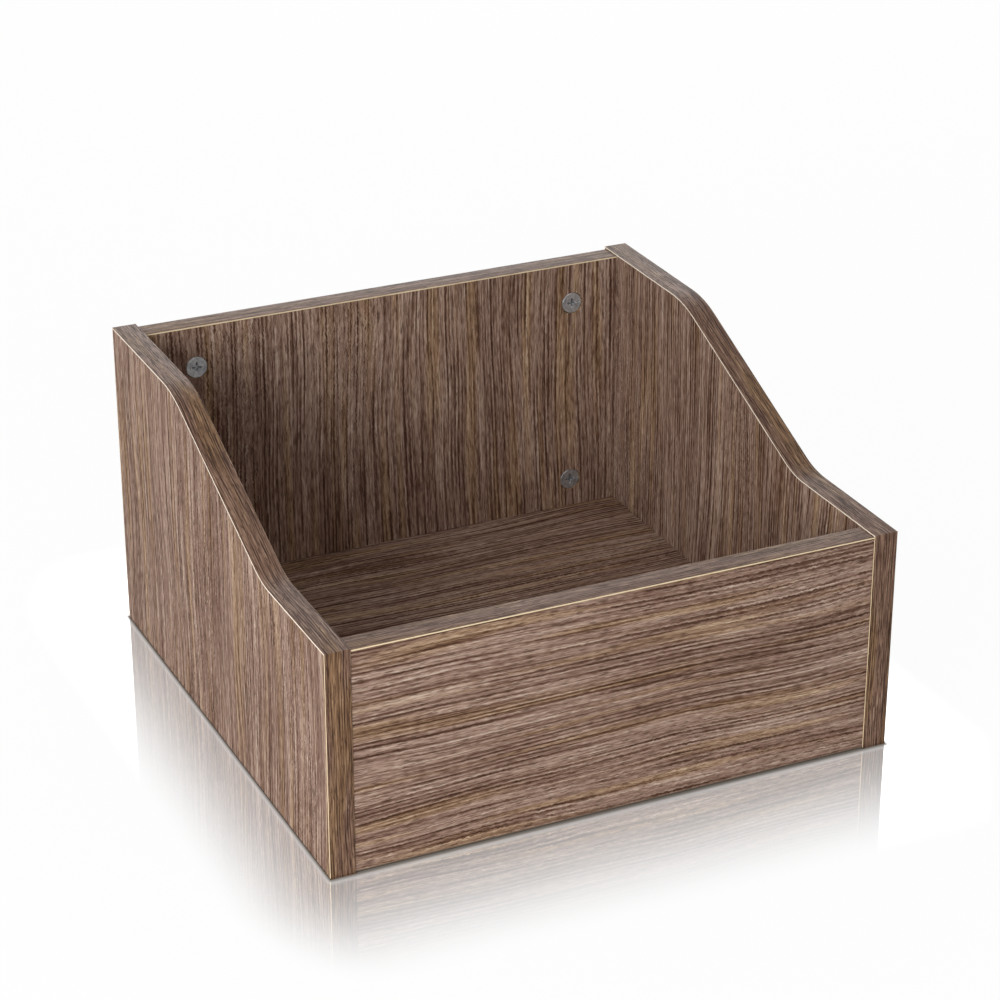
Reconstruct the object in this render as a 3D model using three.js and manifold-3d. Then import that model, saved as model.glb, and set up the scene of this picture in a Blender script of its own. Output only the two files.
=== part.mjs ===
// Record storage stand, in millimetres: +X is its right, -Y its front and +Z up.
// The origin is on the floor, under the middle of the stand.
import * as THREE from 'three';
import { mergeVertices } from 'three/addons/utils/BufferGeometryUtils.js';
import Module from 'manifold-3d';

const wasm = await Module();
wasm.setup();

// ---- overall sizes ---------------------------------------------------------
const width = 375;
const depth = 365;
const frontHeight = 148; // the sides' top edges at the front
const backHeight = 212; // the sides' top edges at the back

// ---- boards ----------------------------------------------------------------
const sideThickness = 16;
const frontThickness = 16;
const backThickness = 16;
const baseThickness = 16;
const bandThickness = 0.8;
const frontInset = 0.5; // front board's face behind the sides' front edges
const backInset = 3; // back board's face ahead of the sides' rear edges
const edgeDrop = 1; // front and back boards stop this short of the sides, above and below
const baseLift = 12; // floor to the base board's underside
const seatGap = 0.3; // between two boards that meet

// ---- swoop along the sides' top edges --------------------------------------
const swoopAngle = THREE.MathUtils.degToRad(23);
const swoopMiddle = 174; // from the sides' front edges to the middle of the slope
const hollowRadius = 60; // where the low front runs into the slope
const crownRadius = 80; // where the slope runs into the high back

// ---- cam locks -------------------------------------------------------------
const fittingClearance = 0.3; // between a fitting and the bore that it sits in
const camDiameter = 15;
const camRecess = 0.3; // the cam's face below the board's face
const camSetback = 34; // from the board's end to the cam's axis
const camCover = 3.2; // wood left behind a cam's housing
const driveLength = 7; // cross recess for the screwdriver
const driveWidth = 1.4;
const driveDepth = 2.5;

// ---- cam bolts -------------------------------------------------------------
const headDiameter = 6.5;
const headShoulder = 1.6; // length of the cones at the two ends of the head
const neckDiameter = 4;
const neckLength = 3;
const shankDiameter = 6.2;
const collarDiameter = 7.4;
const collarLength = 2.5;
const threadDiameter = 5.6;
const rootDiameter = 4.4;
const threadPitch = 2.2;
const sideCover = 5; // wood left behind a blind bore in a side board

// ---- dowels ----------------------------------------------------------------
const dowelDiameter = 8;
const dowelLength = 30;
const dowelFlutes = 10;
const fluteDepth = 0.25;
const dowelChamfer = 1;

// ---- where the fittings stand ----------------------------------------------
const lowCamLift = 20; // lower cams above the base board's top
const highCamDrop = 30; // upper cams below the sides' top edges
const baseCamInset = 62; // base board's cams from its front and back edges

// ---- facets ----------------------------------------------------------------
const arcSteps = 5; // half the straight steps along each arc of the swoop
const camSteps = 24;
const boreSteps = 16;
const boltSteps = 12;
const overshoot = 1; // how far a cutter runs past the face that it opens
const weldDistance = 1e-4;

const materials = {
  sideBoard: new THREE.MeshStandardMaterial({ color: 0x8a7060, roughness: 0.48, metalness: 0 }),
  crossBoard: new THREE.MeshStandardMaterial({ color: 0x8f7563, roughness: 0.48, metalness: 0 }),
  edgeBand: new THREE.MeshStandardMaterial({ color: 0x77604c, roughness: 0.5, metalness: 0 }),
  castZinc: new THREE.MeshStandardMaterial({ color: 0xa9abae, roughness: 0.42, metalness: 0.9 }),
  platedSteel: new THREE.MeshStandardMaterial({ color: 0xc4c2bb, roughness: 0.3, metalness: 1 }),
  beech: new THREE.MeshStandardMaterial({ color: 0xd2ac7c, roughness: 0.7, metalness: 0 }),
};

// ---- places worked out from the sizes --------------------------------------
const frontEdge = -depth / 2;
const rearEdge = depth / 2;
const innerSide = width / 2 - sideThickness;
const boardEnd = innerSide - seatGap;
const frontFace = frontEdge + frontInset;
const frontInner = frontFace + frontThickness;
const backFace = rearEdge - backInset;
const backInner = backFace - backThickness;
const baseTop = baseLift + baseThickness;
const blindReach = sideThickness - sideCover - fittingClearance; // a fitting's reach into a side

// ---- solids ----------------------------------------------------------------
function solidOf(geometry) {
  const bare = geometry.clone();
  bare.deleteAttribute('normal');
  bare.deleteAttribute('uv');
  const merged = mergeVertices(bare, weldDistance);
  return new wasm.Manifold(new wasm.Mesh({
    numProp: 3,
    vertProperties: merged.getAttribute('position').array,
    triVerts: Uint32Array.from(merged.index.array),
  }));
}

function geometryOf(solid) {
  const mesh = solid.getMesh();
  const geometry = new THREE.BufferGeometry();
  geometry.setAttribute('position', new THREE.BufferAttribute(mesh.vertProperties, 3));
  geometry.setIndex(new THREE.BufferAttribute(mesh.triVerts, 1));
  const faceted = geometry.toNonIndexed();
  faceted.computeVertexNormals();
  return faceted;
}

function cut(geometry, cutters) {
  const whole = solidOf(geometry);
  return geometryOf(cutters.reduce((solid, cutter) => solid.subtract(solidOf(cutter)), whole));
}

function part(name, geometry, material) {
  const mesh = new THREE.Mesh(geometry, material);
  mesh.name = name;
  return mesh;
}

// A block between two corners.
function block(low, high) {
  const size = new THREE.Vector3().subVectors(high, low);
  const geometry = new THREE.BoxGeometry(size.x, size.y, size.z);
  return geometry.translate(low.x + size.x / 2, low.y + size.y / 2, low.z + size.z / 2);
}

// A round cutter whose flats stay outside the stated diameter.
function roundCutter(diameter, from, to, steps = boreSteps) {
  const radius = diameter / 2 / Math.cos(Math.PI / steps);
  const along = new THREE.Vector3().subVectors(to, from);
  const geometry = new THREE.CylinderGeometry(radius, radius, along.length(), steps);
  const upright = new THREE.Vector3(0, 1, 0);
  const turn = new THREE.Quaternion().setFromUnitVectors(upright, along.clone().normalize());
  const middle = new THREE.Vector3().addVectors(from, to).multiplyScalar(0.5);
  return geometry.applyQuaternion(turn).translate(middle.x, middle.y, middle.z);
}

// An outline in depth and height, made as thick as a side board.
function sidePlate(outline) {
  const shape = new THREE.Shape(outline);
  const geometry = new THREE.ExtrudeGeometry(shape, { depth: sideThickness, bevelEnabled: false });
  const turn = new THREE.Matrix4().makeBasis(
    new THREE.Vector3(0, 1, 0),
    new THREE.Vector3(0, 0, 1),
    new THREE.Vector3(1, 0, 0),
  );
  return geometry.applyMatrix4(turn).translate(-sideThickness / 2, 0, 0);
}

// ---- the side boards' outline ----------------------------------------------
// The top edge from front to rear, sunk by `inset` and cut short by `shorten` at both ends.
function topEdge(inset, shorten) {
  const sine = Math.sin(swoopAngle);
  const cosine = Math.cos(swoopAngle);
  const middleY = frontEdge + swoopMiddle;
  const middleZ = (frontHeight + backHeight) / 2;
  const hollowZ = frontHeight + hollowRadius;
  const crownZ = backHeight - crownRadius;
  const hollowY = middleY + ((hollowZ - middleZ) * cosine - hollowRadius) / sine;
  const crownY = middleY + ((crownZ - middleZ) * cosine + crownRadius) / sine;
  const quarter = Math.PI / 2;
  const path = new THREE.Path();
  path.moveTo(frontEdge + shorten, frontHeight - inset);
  path.lineTo(hollowY, frontHeight - inset);
  path.absarc(hollowY, hollowZ, hollowRadius + inset, -quarter, swoopAngle - quarter, false);
  path.absarc(crownY, crownZ, crownRadius - inset, swoopAngle + quarter, quarter, true);
  path.lineTo(rearEdge - shorten, backHeight - inset);
  return path.getPoints(arcSteps);
}

// A rectangle in depth and height.
function rectangle(lowY, lowZ, highY, highZ) {
  return [
    new THREE.Vector2(lowY, lowZ),
    new THREE.Vector2(highY, lowZ),
    new THREE.Vector2(highY, highZ),
    new THREE.Vector2(lowY, highZ),
  ];
}

// ---- fixings between the sides and the other boards ------------------------
// Each board has two cam locks at each end, with a dowel between them. `face` is the
// direction in which the cams' housings open.
function fixingsOf(board, thickness, face, first, last) {
  const middle = { y: (first.y + last.y) / 2, z: (first.z + last.z) / 2 };
  return [
    { ...first, kind: 'cam', name: `${board}_${first.place}`, face, thickness },
    { ...last, kind: 'cam', name: `${board}_${last.place}`, face, thickness },
    { ...middle, kind: 'dowel', name: board },
  ];
}

function standingFixings(board, thickness, face, y, sideTop) {
  const low = { place: 'low', y, z: baseTop + lowCamLift };
  const high = { place: 'high', y, z: sideTop - highCamDrop };
  return fixingsOf(board, thickness, face, low, high);
}

function lyingFixings(board, thickness, face, z) {
  const fore = { place: 'fore', y: frontInner + baseCamInset, z };
  const aft = { place: 'aft', y: backInner - baseCamInset, z };
  return fixingsOf(board, thickness, face, fore, aft);
}

const rearward = new THREE.Vector3(0, 1, 0);
const forward = new THREE.Vector3(0, -1, 0);
const downward = new THREE.Vector3(0, 0, -1);
const frontLevel = frontFace + frontThickness / 2;
const backLevel = backFace - backThickness / 2;
const baseLevel = baseLift + baseThickness / 2;
const frontFixings = standingFixings('front', frontThickness, rearward, frontLevel, frontHeight);
const backFixings = standingFixings('back', backThickness, forward, backLevel, backHeight);
const baseFixings = lyingFixings('base', baseThickness, downward, baseLevel);
const allFixings = [...frontFixings, ...backFixings, ...baseFixings];
const ends = [{ name: 'left', sign: -1 }, { name: 'right', sign: 1 }];

// The blind bore in a side board's inner face, in the side board's own frame.
function sideBore(fixing, sign) {
  const fitting = fixing.kind === 'cam' ? threadDiameter : dowelDiameter;
  const inner = -sign * sideThickness / 2;
  return roundCutter(
    fitting + 2 * fittingClearance,
    new THREE.Vector3(inner + sign * (blindReach + fittingClearance), fixing.y, fixing.z),
    new THREE.Vector3(inner - sign * overshoot, fixing.y, fixing.z),
  );
}

// The bores at one end of a board: one for a dowel, or two for a bolt and its cam.
function endBores(fixing, sign) {
  const at = (x) => new THREE.Vector3(sign * x, fixing.y, fixing.z);
  const mouth = at(boardEnd + overshoot);
  if (fixing.kind === 'dowel') {
    const bottom = at(innerSide + blindReach - dowelLength - fittingClearance);
    return [roundCutter(dowelDiameter + 2 * fittingClearance, bottom, mouth)];
  }
  const centre = at(boardEnd - camSetback);
  const level = (height) => centre.clone().addScaledVector(fixing.face, height);
  const floor = camCover - fixing.thickness / 2;
  const housing = [level(floor), level(fixing.thickness / 2 + overshoot)];
  return [
    roundCutter(collarDiameter + 2 * fittingClearance, centre, mouth),
    roundCutter(camDiameter + 2 * fittingClearance, ...housing, camSteps),
  ];
}

function boredBoard(name, slab, fixings) {
  const cutters = fixings.flatMap((fixing) => ends.flatMap((end) => endBores(fixing, end.sign)));
  return part(name, cut(slab, cutters), materials.crossBoard);
}

// ---- boards and their edge bands -------------------------------------------
function sideAssembly(end) {
  const group = new THREE.Group();
  const core = [
    new THREE.Vector2(frontEdge + bandThickness, bandThickness),
    new THREE.Vector2(rearEdge - bandThickness, bandThickness),
    ...topEdge(bandThickness, bandThickness).reverse(),
  ];
  const bores = allFixings.map((fixing) => sideBore(fixing, end.sign));
  group.add(part(`side_board_${end.name}`, cut(sidePlate(core), bores), materials.sideBoard));
  const frontTop = frontHeight - bandThickness;
  const rearTop = backHeight - bandThickness;
  const bands = {
    top: [...topEdge(bandThickness, 0), ...topEdge(0, 0).reverse()],
    front: rectangle(frontEdge, bandThickness, frontEdge + bandThickness, frontTop),
    rear: rectangle(rearEdge - bandThickness, bandThickness, rearEdge, rearTop),
    bottom: rectangle(frontEdge, 0, rearEdge, bandThickness),
  };
  for (const [edge, outline] of Object.entries(bands)) {
    group.add(part(`edge_band_${end.name}_${edge}`, sidePlate(outline), materials.edgeBand));
  }
  group.position.x = end.sign * (width - sideThickness) / 2;
  return group;
}

// A board that stands between the sides, with bands on its top and bottom edges.
function standingBoard(name, nearY, farY, sideTop, fixings) {
  const slab = (lowZ, highZ) => block(
    new THREE.Vector3(-boardEnd, nearY, lowZ),
    new THREE.Vector3(boardEnd, farY, highZ),
  );
  const coreBottom = edgeDrop + bandThickness;
  const coreTop = sideTop - edgeDrop - bandThickness;
  return [
    boredBoard(`${name}_board`, slab(coreBottom, coreTop), fixings),
    part(`edge_band_${name}_top`, slab(coreTop, sideTop - edgeDrop), materials.edgeBand),
    part(`edge_band_${name}_bottom`, slab(edgeDrop, coreBottom), materials.edgeBand),
  ];
}

function baseBoard() {
  const slab = block(
    new THREE.Vector3(-boardEnd, frontInner + seatGap, baseLift),
    new THREE.Vector3(boardEnd, backInner - seatGap, baseTop),
  );
  return boredBoard('base_board', slab, baseFixings);
}

// ---- fittings --------------------------------------------------------------
// The cam's face is at z = 0, and the pocket for the bolt's head opens towards -X.
function camGeometry(thickness) {
  const radius = camDiameter / 2;
  const height = thickness - camRecess - fittingClearance - camCover;
  const disc = new THREE.CylinderGeometry(radius, radius, height, camSteps);
  disc.rotateX(Math.PI / 2).translate(0, 0, -height / 2);
  const boltLevel = camRecess - thickness / 2;
  const pocket = roundCutter(
    headDiameter + 2 * fittingClearance,
    new THREE.Vector3(headDiameter / 2 + fittingClearance, 0, boltLevel),
    new THREE.Vector3(-camDiameter, 0, boltLevel),
  );
  const sizes = [[driveLength / 2, driveWidth / 2], [driveWidth / 2, driveLength / 2]];
  const slots = sizes.map(([x, y]) => block(
    new THREE.Vector3(-x, -y, -driveDepth),
    new THREE.Vector3(x, y, overshoot),
  ));
  return cut(disc, [pocket, ...slots]);
}

// The thread's ridges, from its tip to the side board's inner face at 0.
function threadProfile() {
  const root = rootDiameter / 2;
  const profile = [[-blindReach, 0], [-blindReach, root]];
  const turns = Math.floor(blindReach / threadPitch);
  for (let turn = 0; turn < turns; turn += 1) {
    const start = turn * threadPitch - blindReach;
    profile.push([start + threadPitch / 2, threadDiameter / 2], [start + threadPitch, root]);
  }
  return profile;
}

// The bolt runs along +X from the tip of its thread, with x = 0 at the side's inner face.
function boltGeometry() {
  const headStart = seatGap + camSetback - headDiameter / 2;
  const headEnd = headStart + headDiameter;
  const neckStart = headStart - neckLength;
  const collarEnd = seatGap + collarLength;
  const profile = [
    ...threadProfile(),
    [seatGap, rootDiameter / 2],
    [seatGap, collarDiameter / 2],
    [collarEnd, collarDiameter / 2],
    [collarEnd, shankDiameter / 2],
    [neckStart, shankDiameter / 2],
    [neckStart, neckDiameter / 2],
    [headStart, neckDiameter / 2],
    [headStart + headShoulder, headDiameter / 2],
    [headEnd - headShoulder, headDiameter / 2],
    [headEnd, neckDiameter / 2],
    [headEnd, 0],
  ];
  const points = profile.map(([along, radius]) => new THREE.Vector2(radius, along));
  return new THREE.LatheGeometry(points, boltSteps).rotateZ(-Math.PI / 2);
}

// A fluted dowel along X, with its middle at the origin.
function dowelGeometry() {
  const outer = dowelDiameter / 2 - dowelChamfer / 2;
  const outline = Array.from({ length: 2 * dowelFlutes }, (_, step) => {
    const angle = Math.PI * step / dowelFlutes;
    const radius = outer - (step % 2) * fluteDepth;
    return new THREE.Vector2(radius * Math.cos(angle), radius * Math.sin(angle));
  });
  const geometry = new THREE.ExtrudeGeometry(new THREE.Shape(outline), {
    depth: dowelLength - 2 * dowelChamfer,
    bevelThickness: dowelChamfer,
    bevelSize: dowelChamfer / 2,
    bevelSegments: 1,
  });
  return geometry.translate(0, 0, dowelChamfer - dowelLength / 2).rotateY(Math.PI / 2);
}

function dowelAt(fixing, end) {
  const dowel = part(`dowel_${fixing.name}_${end.name}`, dowelGeometry(), materials.beech);
  const middle = innerSide + blindReach - dowelLength / 2;
  dowel.position.set(end.sign * middle, fixing.y, fixing.z);
  return [dowel];
}

function boltAndCamAt(fixing, end) {
  const bolt = part(`cam_bolt_${fixing.name}_${end.name}`, boltGeometry(), materials.platedSteel);
  bolt.position.set(end.sign * innerSide, fixing.y, fixing.z);
  bolt.rotation.z = end.sign > 0 ? Math.PI : 0;
  const geometry = camGeometry(fixing.thickness);
  const cam = part(`cam_lock_${fixing.name}_${end.name}`, geometry, materials.castZinc);
  const inward = new THREE.Vector3(-end.sign, 0, 0);
  const across = new THREE.Vector3().crossVectors(fixing.face, inward);
  cam.setRotationFromMatrix(new THREE.Matrix4().makeBasis(inward, across, fixing.face));
  cam.position.set(end.sign * (boardEnd - camSetback), fixing.y, fixing.z);
  cam.position.addScaledVector(fixing.face, fixing.thickness / 2 - camRecess);
  return [bolt, cam];
}

// ---- the stand -------------------------------------------------------------
const stand = new THREE.Group();
stand.add(...ends.map(sideAssembly));
stand.add(...standingBoard('front', frontFace, frontInner, frontHeight, frontFixings));
stand.add(...standingBoard('back', backInner, backFace, backHeight, backFixings));
stand.add(baseBoard());
for (const fixing of allFixings) {
  const place = fixing.kind === 'cam' ? boltAndCamAt : dowelAt;
  stand.add(...ends.flatMap((end) => place(fixing, end)));
}

export default stand;
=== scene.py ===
"""The looks of a record storage stand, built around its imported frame.

The stand is five boards of melamine-faced chipboard, printed as walnut. Printed plastic
bands cover the boards' edges, and zinc cam locks hold the boards together. Every piece
stands in the frame's own place: +X is the stand's right, -Y its front and +Z up. Sizes
named here are in millimetres, and Blender's are in metres.
"""

import logging
import math
from collections.abc import Iterable, Sequence
from dataclasses import dataclass
from enum import Enum

import bmesh
import bpy
from mathutils import Matrix, Vector


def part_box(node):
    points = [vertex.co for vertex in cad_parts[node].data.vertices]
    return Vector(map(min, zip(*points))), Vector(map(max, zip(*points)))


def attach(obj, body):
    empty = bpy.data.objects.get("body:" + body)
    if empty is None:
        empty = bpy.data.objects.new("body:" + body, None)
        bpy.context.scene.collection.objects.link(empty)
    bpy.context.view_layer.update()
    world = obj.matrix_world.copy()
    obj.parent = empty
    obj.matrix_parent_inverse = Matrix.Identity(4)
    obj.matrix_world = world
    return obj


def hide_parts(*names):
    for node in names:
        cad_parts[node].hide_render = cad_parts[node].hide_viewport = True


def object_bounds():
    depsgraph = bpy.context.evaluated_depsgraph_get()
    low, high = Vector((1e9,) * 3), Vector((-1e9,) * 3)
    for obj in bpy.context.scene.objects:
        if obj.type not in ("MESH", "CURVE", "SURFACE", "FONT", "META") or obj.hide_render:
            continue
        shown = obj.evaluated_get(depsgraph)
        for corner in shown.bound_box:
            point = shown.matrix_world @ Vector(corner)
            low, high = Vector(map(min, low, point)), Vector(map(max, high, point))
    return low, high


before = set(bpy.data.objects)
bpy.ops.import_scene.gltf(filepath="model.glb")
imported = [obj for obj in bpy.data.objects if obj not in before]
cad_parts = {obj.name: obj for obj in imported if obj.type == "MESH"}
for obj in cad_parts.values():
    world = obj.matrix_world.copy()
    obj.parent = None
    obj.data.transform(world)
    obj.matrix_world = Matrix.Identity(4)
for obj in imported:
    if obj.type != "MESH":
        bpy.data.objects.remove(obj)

CAD_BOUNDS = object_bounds()
MM = 0.001
PER_METRE = 1000.0
TRIM = "trim"

log = logging.getLogger("record_stand")

Colour = tuple[float, float, float, float]
Socket = bpy.types.NodeSocket
Tree = bpy.types.NodeTree
Input = Socket | float | Sequence[float]
Rows = Sequence[Sequence[bmesh.types.BMVert]]


# ---- small tools -----------------------------------------------------------


class Axis(Enum):
    """The frame's three directions."""

    X = 0
    Y = 1
    Z = 2

    @property
    def unit(self) -> Vector:
        """The direction as a vector of length one."""
        return Vector([1.0 if axis is self else 0.0 for axis in Axis])


@dataclass(frozen=True)
class Ramp:
    """How one measure follows another between two points, past which it stays as it is.

    Attributes:
        start: The measure that is followed, at the first point.
        end: The same, at the second point.
        low: The measure that follows it, at the first point.
        high: The same, at the second point.
    """

    start: float = 0.0
    end: float = 1.0
    low: float = 0.0
    high: float = 1.0

    @property
    def values(self) -> dict[int, float]:
        """The four values, by the number of the input that takes each in a range node."""
        return dict(enumerate((self.start, self.end, self.low, self.high), start=1))


def linear(colour: str) -> Colour:
    """Turns an sRGB colour into the linear one that Blender's sockets take.

    Args:
        colour: The colour as six hex digits.

    Returns:
        Its linear red, green and blue, and an alpha of one.
    """
    channels = [int(colour[start : start + 2], 16) / 255 for start in (0, 2, 4)]
    light = [c / 12.92 if c <= 0.04045 else ((c + 0.055) / 1.055) ** 2.4 for c in channels]
    return (*light, 1.0)


def add_node(
    tree: Tree,
    kind: str,
    inputs: dict[str | int, Input],
    output: str | None = None,
    **settings: object,
) -> Socket | None:
    """Adds a node to a tree, with its settings, values and links.

    Args:
        tree: The tree that takes the node.
        kind: The node's type, as bpy names it after ShaderNode.
        inputs: What each input holds, by name or number: a value, or the output that is
            linked to it.
        output: The name of the output that is wanted, or None for the first in use.
        **settings: Values of the node's own properties.

    Returns:
        The node's output, or None where it has none.
    """
    node = tree.nodes.new(f"ShaderNode{kind}")
    for name, value in settings.items():
        setattr(node, name, value)
    for name, value in inputs.items():
        named = (s for s in node.inputs if s.enabled and s.name == name)
        socket = node.inputs[name] if isinstance(name, int) else next(named)
        if isinstance(value, Socket):
            tree.links.new(value, socket)
        else:
            socket.default_value = value
    if output:
        return node.outputs[output]
    return next((s for s in node.outputs if s.enabled), None)


def box_mm(node: str) -> tuple[Vector, Vector]:
    """Gives a frame node's lowest and highest corners, in mm."""
    low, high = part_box(node)
    return low * PER_METRE, high * PER_METRE


def circle(radius: float, steps: int) -> list[tuple[float, float]]:
    """Gives the corners of a circle drawn round the origin in straight steps."""
    turns = [math.tau * step / steps for step in range(steps)]
    return [(radius * math.cos(t), radius * math.sin(t)) for t in turns]


def skin(build: bmesh.types.BMesh, rows: Rows) -> list[bmesh.types.BMFace]:
    """Joins rows of corners with faces, and closes both ends.

    Args:
        build: The bmesh that holds the corners.
        rows: The rows from end to end, all with the same number of corners.

    Returns:
        The two faces that close the ends.
    """
    for near, far in zip(rows, rows[1:]):
        for here in range(len(near)):
            there = (here + 1) % len(near)
            build.faces.new((near[here], near[there], far[there], far[here]))
    return [build.faces.new(row) for row in (rows[0], rows[-1])]


def finished_mesh(name: str, build: bmesh.types.BMesh, crease: float = 40.0) -> bpy.types.Mesh:
    """Turns a finished bmesh into a smooth mesh, with its faces pointing out.

    Args:
        name: The mesh's name.
        build: The bmesh, which is freed.
        crease: The angle between two faces, in degrees, above which their edge is sharp.

    Returns:
        The mesh.
    """
    bmesh.ops.recalc_face_normals(build, faces=build.faces)
    mesh = bpy.data.meshes.new(name)
    build.to_mesh(mesh)
    build.free()
    mesh.shade_smooth()
    mesh.set_sharp_from_angle(angle=math.radians(crease))
    return mesh


def add_object(name: str, data: bpy.types.ID) -> bpy.types.Object:
    """Adds an object to the scene.

    Args:
        name: The object's name.
        data: Its mesh, lamp or camera.

    Returns:
        The object.
    """
    added = bpy.data.objects.new(name, data)
    bpy.context.scene.collection.objects.link(added)
    return added


def stand_piece(
    name: str,
    mesh: bpy.types.Mesh,
    node: str,
    place: Matrix | None = None,
) -> bpy.types.Object:
    """Puts a piece in the scene in place of a frame node.

    Args:
        name: The piece's name.
        mesh: Its mesh.
        node: The frame node that it stands for.
        place: Where the mesh's own frame lies, or None where it is the stand's.

    Returns:
        The piece.
    """
    piece = add_object(name, mesh)
    if place is not None:
        piece.matrix_world = place
    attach(piece, "root")
    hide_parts(node)
    return piece


# ---- wood prints -----------------------------------------------------------


@dataclass(frozen=True)
class Cut:
    """How a sheet of wood print lies on a board.

    Attributes:
        grain: The direction that the grain runs in.
        through: The direction through the sheet.
        offset: Where on the endless print the sheet was cut, in mm.
    """

    grain: Axis
    through: Axis
    offset: tuple[float, float, float] = (0.0, 0.0, 0.0)

    @property
    def across(self) -> Vector:
        """The direction across the grain, in the sheet."""
        return next(a for a in Axis if a not in (self.grain, self.through)).unit

    @property
    def along(self) -> Vector:
        """The two directions that a mark is drawn out in: along the grain and through."""
        return Vector((1.0, 1.0, 1.0)) - self.across


@dataclass(frozen=True)
class Layer:
    """One layer of a wood print: soft marks drawn out along the grain.

    Attributes:
        width: A mark's width across the grain, in mm.
        length: Its length along the grain, in mm.
        detail: How many finer marks there are within it, in octaves.
        weight: How far the layer moves the tone that it is added to, or in mm the place.
    """

    width: float
    length: float
    detail: float = 1.0
    weight: float = 1.0


@dataclass(frozen=True)
class Rings:
    """The dark lines of a print, where the saw cut through the tree's growth rings.

    Attributes:
        spacing: The mean distance between two lines, in mm.
        length: How far a line keeps its strength along the grain, in mm.
        start: Where a line starts to darken, as a share of the spacing.
        end: Where it has ended.
        weight: How far the darkest line lowers the tone.
        darkest: Where a line is darkest, as a share of the spacing.
        strength: How strong a line is, by the marks of its own lane.
        lane: How far apart the lanes of two lines are, so that they have nothing in common.
    """

    spacing: float
    length: float
    start: float
    end: float
    weight: float
    darkest: float = 0.64
    strength: Ramp = Ramp(0.38, 0.62, low=0.1)
    lane: float = 7.3


@dataclass(frozen=True)
class Inks:
    """The inks of a wood print.

    Attributes:
        colours: The inks' sRGB colours, from dark to pale.
        tones: The tone that each is laid at, from 0, dark, to 1, pale.
    """

    colours: tuple[str, ...]
    tones: tuple[float, ...] = (0.0, 0.25, 0.5, 0.75, 1.0)

    def lay(self, tree: Tree, tone: Socket) -> Socket:
        """Adds the colour that the inks give a tone.

        Args:
            tree: The tree that takes the node.
            tone: The tone.

        Returns:
            The colour.
        """
        colour = add_node(tree, "ValToRGB", {"Fac": tone}, output="Color")
        elements = colour.node.color_ramp.elements
        while len(elements) < len(self.tones):
            elements.new(1.0)
        for element, position, ink in zip(elements, self.tones, self.colours):
            element.position = position
            element.color = linear(ink)
        return colour


class Draft:
    """A wood print while it is drawn in a material's tree.

    Attributes:
        tree: The material's tree.
        cut: How the print lies.
        place: The place on the print in mm, as bent so far.
    """

    def __init__(self, tree: Tree, cut: Cut) -> None:
        """Starts at the place on the endless print where the sheet was cut.

        Args:
            tree: The material's tree.
            cut: How the print lies.
        """
        self.tree = tree
        self.cut = cut
        metres = add_node(tree, "TexCoord", {}, output="Object")
        inputs = {0: metres, 1: [PER_METRE] * 3, 2: cut.offset}
        self.place = add_node(tree, "VectorMath", inputs, operation="MULTIPLY_ADD")

    def marks(self, layer: Layer) -> Socket:
        """Adds a layer's marks.

        Args:
            layer: The layer.

        Returns:
            The marks, from 0 to 1 about a middle of 0.5.
        """
        scale = self.cut.across / layer.width + self.cut.along / layer.length
        inputs = {0: self.place, 1: scale}
        drawn = add_node(self.tree, "VectorMath", inputs, operation="MULTIPLY")
        inputs = {"Vector": drawn, "Scale": 1.0, "Detail": layer.detail}
        return add_node(self.tree, "TexNoise", inputs)

    def bend(self, marks: Socket, reach: float) -> None:
        """Bends what is drawn from now on.

        Args:
            marks: How far each place moves across the grain, from 0 to 1.
            reach: How far 1 moves it, in mm.
        """
        inputs = {0: marks, 1: self.cut.across * reach, 2: self.place}
        self.place = add_node(self.tree, "VectorMath", inputs, operation="MULTIPLY_ADD")

    def lines(self, rings: Rings) -> Socket:
        """Adds the rings' lines.

        Args:
            rings: The rings.

        Returns:
            The lines, from 0 between two of them to 1 in the darkest.
        """
        inputs = {0: self.place, 1: self.cut.across / rings.spacing}
        count = add_node(self.tree, "VectorMath", inputs, operation="DOT_PRODUCT")
        number = add_node(self.tree, "Math", {0: count}, operation="FLOOR")
        phase = add_node(self.tree, "Math", {0: count}, operation="FRACT")
        # Each line takes its strength from a lane of its own, so no two change together.
        inputs = {0: self.cut.across * rings.lane, "Scale": number}
        lane = add_node(self.tree, "VectorMath", inputs, operation="SCALE")
        inputs = {0: self.place, 1: self.cut.along / rings.length, 2: lane}
        lane = add_node(self.tree, "VectorMath", inputs, operation="MULTIPLY_ADD")
        marks = add_node(self.tree, "TexNoise", {"Vector": lane, "Scale": 1.0, "Detail": 1.0})
        shares = (
            (marks, rings.strength),
            (phase, Ramp(rings.start, rings.darkest)),
            (phase, Ramp(rings.darkest, rings.end, low=1.0, high=0.0)),
        )
        line: Input = 1.0
        for value, ramp in shares:
            inputs = {0: value, **ramp.values}
            share = add_node(self.tree, "MapRange", inputs, interpolation_type="SMOOTHSTEP")
            line = add_node(self.tree, "Math", {0: share, 1: line}, operation="MULTIPLY")
        return line

    def tone(self, layers: Sequence[Layer], rings: Rings) -> Socket:
        """Adds up the print's tone.

        Args:
            layers: The layers of marks, each with its weight.
            rings: The dark lines.

        Returns:
            The tone, from 0, dark, to 1, pale.
        """
        # The lines are about a quarter dark on the whole, which the middle makes up for.
        middle = 0.5 + rings.weight / 4 - sum(layer.weight for layer in layers) / 2
        inputs = {0: self.lines(rings), 1: -rings.weight, 2: middle}
        tone = add_node(self.tree, "Math", inputs, operation="MULTIPLY_ADD")
        for layer in layers:
            inputs = {0: self.marks(layer), 1: layer.weight, 2: tone}
            tone = add_node(self.tree, "Math", inputs, operation="MULTIPLY_ADD")
        return tone


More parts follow.
